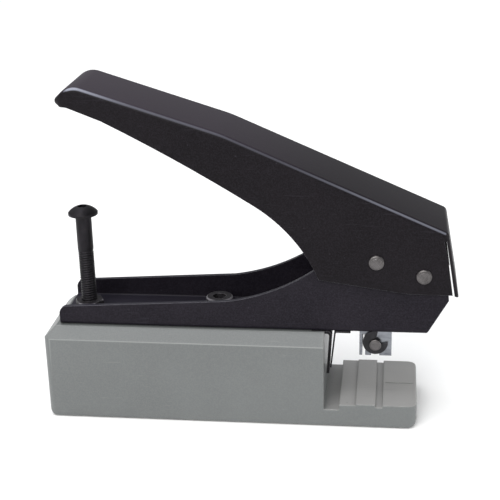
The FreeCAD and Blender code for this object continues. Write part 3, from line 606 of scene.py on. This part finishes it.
def turned(profile, steps):
    # profile is (radius, height) from the axis round and back to it; turned about Z
    bm = bmesh.new()
    ring = [bm.verts.new((radius, 0, height)) for radius, height in profile]
    for a, b in zip(ring, ring[1:]):
        bm.edges.new((a, b))
    outline = bm.verts[:] + bm.edges[:]
    bmesh.ops.spin(bm, geom=outline, cent=(0, 0, 0), axis=(0, 0, 1), angle=2 * math.pi, steps=steps)
    bmesh.ops.remove_doubles(bm, verts=bm.verts, dist=1e-6)
    bmesh.ops.recalc_face_normals(bm, faces=bm.faces)
    return bm


def sizedTree(name, inputs):
    # an empty geometry tree with named inputs; returns the graph, a wire for each input, and the end
    tree = bpy.data.node_groups.new(name, "GeometryNodeTree")
    tree.interface.new_socket("Geometry", in_out="OUTPUT", socket_type="NodeSocketGeometry")
    for label, kind in inputs.items():
        tree.interface.new_socket(label, in_out="INPUT", socket_type=kind)
    graph = Graph(tree)
    start, end = tree.nodes.new("NodeGroupInput"), tree.nodes.new("NodeGroupOutput")
    return graph, {label: Wire(graph, start.outputs[label]) for label in inputs}, end


def closeTree(graph, end, shape, material):
    whole = graph.add("GeometryNodeRealizeInstances", {}, {"Geometry": shape})
    whole = graph.add("GeometryNodeSetMaterial", {}, {"Geometry": whole, "Material": material})
    graph.tree.links.new(whole.socket, end.inputs["Geometry"])
    return graph.tree


def grow(name, tree, values, degrees):
    # runs a tree once and keeps what it made as a plain mesh
    seed = addObject(name + "Seed", bpy.data.meshes.new(name + "Seed"))
    modifier = seed.modifiers.new("grow", "NODES")
    modifier.node_group = tree
    for item in tree.interface.items_tree:
        if item.in_out == "INPUT":
            modifier[item.identifier] = values[item.name]
    ready = seed.evaluated_get(bpy.context.evaluated_depsgraph_get())
    mesh = bpy.data.meshes.new_from_object(ready)
    mesh.name = name
    seed.modifiers.remove(modifier)
    bpy.data.objects.remove(seed)
    bm = bmesh.new()
    bm.from_mesh(mesh)
    bmesh.ops.remove_doubles(bm, verts=bm.verts, dist=1e-7)
    smoothMesh(bm, degrees)
    bm.to_mesh(mesh)
    bm.free()
    return mesh


def helixTree(name):
    # a wire wound on a circle: the first and last turns lie closed, the rest open evenly
    g, size, end = sizedTree(name, {
        "Turns": "NodeSocketFloat", "Closed Turns": "NodeSocketFloat", "Radius": "NodeSocketFloat",
        "Wire Radius": "NodeSocketFloat", "Bottom": "NodeSocketFloat", "Height": "NodeSocketFloat",
        "Steps Per Turn": "NodeSocketInt", "Wire Sides": "NodeSocketInt", "Start Angle": "NodeSocketFloat",
        "Places": "NodeSocketObject", "Material": "NodeSocketMaterial"})
    count = size["Turns"] * size["Steps Per Turn"] + 1
    line = g.add("GeometryNodeCurvePrimitiveLine", {}, {"End": (0, 0, 1)})
    line = g.add("GeometryNodeResampleCurve", {}, {"Curve": line, "Count": count})
    share = g.add("GeometryNodeSplineParameter", {}, {}, "Factor")
    turn = share * size["Turns"]
    angle = turn * (2 * math.pi) + size["Start Angle"]
    closedRise = size["Wire Radius"] * 2 / size["Height"] * size["Closed Turns"]
    low = (turn / size["Closed Turns"]).least(1.0) * closedRise
    high = ((turn - size["Turns"] + size["Closed Turns"]) / size["Closed Turns"]).most(0.0) * closedRise
    middle = ((turn - size["Closed Turns"]) / (size["Turns"] - size["Closed Turns"] * 2)).most(0.0).least(1.0)
    rise = (low + high + middle * (1 - closedRise * 2)) * size["Height"]
    across, along = angle.cosine() * size["Radius"], angle.sine() * size["Radius"]
    spot = g.add("ShaderNodeCombineXYZ", {}, [across, along, rise + size["Bottom"]])
    coil = g.add("GeometryNodeSetPosition", {}, {"Geometry": line, "Position": spot})
    coil = g.add("GeometryNodeSetCurveNormal", {"mode": "Z_UP"}, {"Curve": coil})
    wire = g.add("GeometryNodeCurvePrimitiveCircle", {}, {
        "Resolution": size["Wire Sides"], "Radius": size["Wire Radius"]})
    body = g.add("GeometryNodeCurveToMesh", {}, {"Curve": coil, "Profile Curve": wire, "Fill Caps": True})
    points = g.add("GeometryNodeObjectInfo", {}, {"Object": size["Places"]}, "Geometry")
    coils = g.add("GeometryNodeInstanceOnPoints", {}, {"Points": points, "Instance": body})
    return closeTree(g, end, coils, size["Material"])


def fittingTree(name):
    # copies of one turned part on a set of points, each turned by its own chance angle
    g, size, end = sizedTree(name, {
        "Fitting": "NodeSocketObject", "Places": "NodeSocketObject", "Tilt": "NodeSocketVector",
        "Most Turn": "NodeSocketFloat", "Seed": "NodeSocketInt", "Material": "NodeSocketMaterial"})
    points = g.add("GeometryNodeObjectInfo", {}, {"Object": size["Places"]}, "Geometry")
    part = g.add("GeometryNodeObjectInfo", {}, {"Object": size["Fitting"]}, "Geometry")
    chance = g.add("FunctionNodeRandomValue", {"data_type": "FLOAT"}, {
        "Min_001": 0.0, "Max_001": size["Most Turn"], "Seed": size["Seed"]}, "Value_001")
    own = g.add("ShaderNodeCombineXYZ", {}, [0.0, 0.0, chance])
    parts = g.add("GeometryNodeInstanceOnPoints", {}, {
        "Points": points, "Instance": part, "Rotation": size["Tilt"]})
    parts = g.add("GeometryNodeRotateInstances", {}, {"Instances": parts, "Rotation": own})
    return closeTree(g, end, parts, size["Material"])


def pointsObject(name, places):
    mesh = bpy.data.meshes.new(name)
    mesh.from_pydata([tuple(p) for p in places], [], [])
    return addObject(name, mesh)


def dropHelpers(*helpers):
    for helper in helpers:
        bpy.data.objects.remove(helper)


helix = helixTree("woundWire")
fitted = fittingTree("fittedParts")


# Return springs: two compression springs between the channel floor and the ram's shoulders
springs = {
    "turns": 7.0, "closedTurns": 1.0, "wire": 0.6, "stepsPerTurn": 28, "wireSides": 12, "startAngle": 0.6,
}


def makeSprings(look):
    low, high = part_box("return_springs")
    wire = look["wire"] * mm / 2
    outer = (high.x - low.x) / 2
    places = [((low.x + high.x) / 2, side * (high.y - outer), 0) for side in (-1, 1)]
    points = pointsObject("springPlaces", places)
    mesh = grow("returnSprings", helix, {
        "Turns": look["turns"], "Closed Turns": look["closedTurns"], "Radius": outer - wire,
        "Wire Radius": wire, "Bottom": low.z + wire, "Height": high.z - low.z - 2 * wire,
        "Steps Per Turn": look["stepsPerTurn"], "Wire Sides": look["wireSides"],
        "Start Angle": look["startAngle"], "Places": points, "Material": finishes["spring_steel"]}, 50)
    dropHelpers(points)
    piece = dress(addObject("returnSprings", mesh), "frame", "spring_steel", ["return_springs"])
    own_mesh(piece)
    print("springs:", len(mesh.polygons), "faces")


makeSprings(springs)


# Pins and rivets: turned parts set at the nodes' own places
pins = {
    "shaft": 2.0, "headHeight": 0.7, "bevel": 0.20, "dome": 0.38,
    "ringRadius": 0.60, "ringDepth": 0.05, "steps": 56, "turnedRings": 2600,
}
crossPinLook = dict(pins, shaft=1.1, headHeight=0.9, bevel=0.18, dome=0.25, ringDepth=0.03)


def pinProfile(headRadius, half, look):
    # half of a headed pin from the middle out, then mirrored; a faint turned ring lies on each head
    radius, headHeight = look["shaft"] * mm, look["headHeight"] * mm
    edge, dome = look["bevel"] * mm, look["dome"] * mm
    groove, depth = headRadius * look["ringRadius"], look["ringDepth"] * mm
    top = half
    rows = [(0, top), (groove * 0.5, top - dome * 0.07), (groove - 2 * depth, top - dome * 0.27),
            (groove, top - dome * 0.36 - depth), (groove + 2 * depth, top - dome * 0.45),
            (headRadius * 0.80, top - dome * 0.64), (headRadius - edge, top - dome),
            (headRadius - edge * 0.3, top - dome - edge * 0.3), (headRadius, top - dome - edge)]
    rows += [(headRadius, half - headHeight), (radius, half - headHeight)]
    return rows + [(r, -z) for r, z in reversed(rows)]


def setPins(name, node, body, look):
    # every solid of the node lies along Y: one pin each
    low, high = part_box(node)
    centre = (low + high) / 2
    rings = (tuple(centre), "Y", look["turnedRings"])
    finish = steelFinish(name + "Turned", dict(brightSteel, rings=rings, line=1.0, stains=0.25))
    headRadius, half = (high.x - low.x) / 2, (high.y - low.y) / 2
    bm = turned(pinProfile(headRadius, half, look), look["steps"])
    part = addObject(name + "Part", plainMesh(name + "Part", bm))
    points = pointsObject(name + "Places", [centre])
    mesh = grow(name, fitted, {
        "Fitting": part, "Places": points, "Tilt": (math.pi / 2, 0, 0), "Most Turn": 0.0, "Seed": 3,
        "Material": finish}, 30)
    dropHelpers(part, points)
    dress(addObject(name, mesh), body, "bright_steel", [node], finish)


setPins("pivotPin", "pivot_pin", "handle", pins)
setPins("drivePin", "drive_pin", "handle", pins)
setPins("crossPin", "cross_pin", "ram", crossPinLook)


def setRivets(name, node, places, slot, rows, look):
    # upright rivets; rows go round the profile from the top, (radius, height) in metres
    part = addObject(name + "Part", plainMesh(name + "Part", turned(rows, look["steps"])))
    points = pointsObject(name + "Places", places)
    mesh = grow(name, fitted, {
        "Fitting": part, "Places": points, "Tilt": (0, 0, 0), "Most Turn": look["mostTurn"], "Seed": 11,
        "Material": finishes[slot]}, 30)
    dropHelpers(part, points)
    dress(addObject(name, mesh), "frame", slot, [node])


rivets = {"guideShank": 1.0, "guideHead": 0.8, "leafShank": 0.7, "leafHead": 0.5, "steps": 32, "mostTurn": 6.0}


def headRows(radius, top, bottom):
    # a low domed head from its crown down to its seat
    tall = top - bottom
    crown = [(0.0, 0.0), (0.45, 0.10), (0.78, 0.32), (0.95, 0.62), (1.0, 0.85), (1.0, 1.0)]
    return [(radius * out, top - tall * down) for out, down in crown]


def makeRivets(look):
    low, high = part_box("guide_rivets")
    radius, shank = (high.x - low.x) / 2, look["guideShank"] * mm
    middle, side = (low.x + high.x) / 2, high.y - (high.x - low.x) / 2
    seat = high.z - look["guideHead"] * mm
    rows = headRows(radius, high.z, seat) + [(shank, seat), (shank, low.z), (0, low.z)]
    places = [(middle, -side, 0), (middle, side, 0)]
    setRivets("guideRivets", "guide_rivets", places, "bright_steel", rows, look)
    low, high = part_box("leaf_rivet")
    radius, shank, head = (high.x - low.x) / 2, look["leafShank"] * mm, look["leafHead"] * mm
    upper = headRows(radius, high.z, high.z - head) + [(shank, high.z - head)]
    lower = [(r, low.z + high.z - z) for r, z in reversed(upper)]
    place = ((low.x + high.x) / 2, (low.y + high.y) / 2, 0)
    setRivets("leafRivet", "leaf_rivet", [place], "black_steel", upper + lower, look)


makeRivets(rivets)
print("pins and rivets set")


# Cover screws: one screw with a cross recess, set at the four bosses, each turned its own way
coverScrews = {"mostTurn": 1.5, "seed": 7}


def makeCoverScrews(look):
    low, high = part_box("cover_screws")
    radius = max(high.y - v.co.y for v in frame["nodes"]["cover_screws"].data.vertices if v.co.y > 0) / 2
    spots = [(x, y, 0) for x in (low.x + radius, high.x - radius) for y in (low.y + radius, high.y - radius)]
    bm = nodeShape("cover_screws")
    first = Vector(spots[0])
    others = [v for v in bm.verts if (v.co.xy - first.xy).length > radius * 1.2]
    bmesh.ops.delete(bm, geom=others, context="VERTS")
    bmesh.ops.translate(bm, verts=bm.verts, vec=-first)
    part = addObject("coverScrewPart", plainMesh("coverScrewPart", bm))
    points = pointsObject("coverScrewPlaces", spots)
    mesh = grow("coverScrews", fitted, {
        "Fitting": part, "Places": points, "Tilt": (0, 0, 0),
        "Most Turn": look["mostTurn"], "Seed": look["seed"], "Material": finishes["black_steel"]}, 32)
    dropHelpers(part, points)
    dress(addObject("coverScrews", mesh), "frame", "black_steel", ["cover_screws"])


makeCoverScrews(coverScrews)


def joined(name, parts):
    bm = bmesh.new()
    for part in parts:
        bm.from_mesh(part)
        bpy.data.meshes.remove(part)
    mesh = bpy.data.meshes.new(name)
    bm.to_mesh(mesh)
    bm.free()
    return mesh


# Stop screw: domed head and smooth neck, then a core with the thread wound on it
stopScrew = {
    "headHeight": 2.9, "plainLength": 11.5, "runOut": 0.5, "tipLength": 0.7,
    "core": 2.26, "crest": 2.49, "pitch": 0.8, "stepsPerTurn": 24,
}


def makeStopScrew(look):
    low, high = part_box("stop_screw")
    middle = (low.x + high.x) / 2
    top = high.z - (look["headHeight"] + look["plainLength"]) * mm
    core = look["core"] * mm
    bm = nodeShape("stop_screw")
    for z in (top, top - look["runOut"] * mm):
        geometry = bm.verts[:] + bm.edges[:] + bm.faces[:]
        bmesh.ops.bisect_plane(bm, geom=geometry, plane_co=(0, 0, z), plane_no=(0, 0, 1))
    for vert in bm.verts:
        across = Vector((vert.co.x - middle, vert.co.y))
        if vert.co.z < top - look["runOut"] * mm + 1e-6 and across.length > core:
            across = across.normalized() * core
            vert.co.x, vert.co.y = middle + across.x, across.y
    smoothMesh(bm, 30)
    shank = plainMesh("stopShank", bm)
    ridge = (look["crest"] - look["core"]) * mm
    bottom = low.z + look["tipLength"] * mm
    height = top - look["runOut"] * mm - bottom
    points = pointsObject("stopPlaces", [(middle, 0, 0)])
    thread = grow("stopThread", helix, {
        "Turns": height / (look["pitch"] * mm), "Closed Turns": 0.01, "Radius": core, "Wire Radius": ridge,
        "Bottom": bottom, "Height": height, "Steps Per Turn": look["stepsPerTurn"], "Wire Sides": 4,
        "Start Angle": 0.0, "Places": points, "Material": finishes["black_steel"]}, 40)
    dropHelpers(points)
    piece = addObject("stopScrew", joined("stopScrew", [shank, thread]))
    dress(piece, "stop", "black_steel", ["stop_screw"], finishes["stopScrew"])


makeStopScrew(stopScrew)


# Cap screw in the channel: knurled round its head
capScrew = {"ribs": 42, "ribRadius": 0.16, "ribSink": 0.10, "ribBottom": 0.5, "ribHeight": 3.7}


def knurlTree(name):
    # upright ribs round a circle, each turned to face outwards
    g, size, end = sizedTree(name, {
        "Ribs": "NodeSocketInt", "Circle Radius": "NodeSocketFloat", "Rib Radius": "NodeSocketFloat",
        "Rib Height": "NodeSocketFloat", "Centre": "NodeSocketVector", "Material": "NodeSocketMaterial"})
    circle = g.add("GeometryNodeMeshCircle", {}, {"Vertices": size["Ribs"], "Radius": size["Circle Radius"]})
    circle = g.add("GeometryNodeTransform", {}, {"Geometry": circle, "Translation": size["Centre"]})
    rib = g.add("GeometryNodeMeshCylinder", {}, {
        "Vertices": 6, "Radius": size["Rib Radius"], "Depth": size["Rib Height"]})
    index = g.add("GeometryNodeInputIndex")
    facing = g.add("ShaderNodeCombineXYZ", {}, [0.0, 0.0, index / size["Ribs"] * (2 * math.pi)])
    ribs = g.add("GeometryNodeInstanceOnPoints", {}, {"Points": circle, "Instance": rib, "Rotation": facing})
    return closeTree(g, end, ribs, size["Material"])


def makeCapScrew(look):
    low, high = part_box("frame_screw")
    middle, radius = (low.x + high.x) / 2, (high.y - low.y) / 2
    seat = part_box("lock_nut")[0].z
    height = look["ribHeight"] * mm
    centre = (middle, 0, seat + look["ribBottom"] * mm + height / 2)
    knurl = grow("capKnurl", knurlTree("headKnurl"), {
        "Ribs": look["ribs"], "Circle Radius": radius - look["ribSink"] * mm,
        "Rib Radius": look["ribRadius"] * mm, "Rib Height": height, "Centre": centre,
        "Material": finishes["black_steel"]}, 40)
    bm = nodeShape("frame_screw")
    smoothMesh(bm, 30)
    piece = addObject("frameScrew", joined("frameScrew", [plainMesh("capBody", bm), knurl]))
    dress(piece, "frame", "black_steel", ["frame_screw"], finishes["frameScrew"])


makeCapScrew(capScrew)
print("screws made")
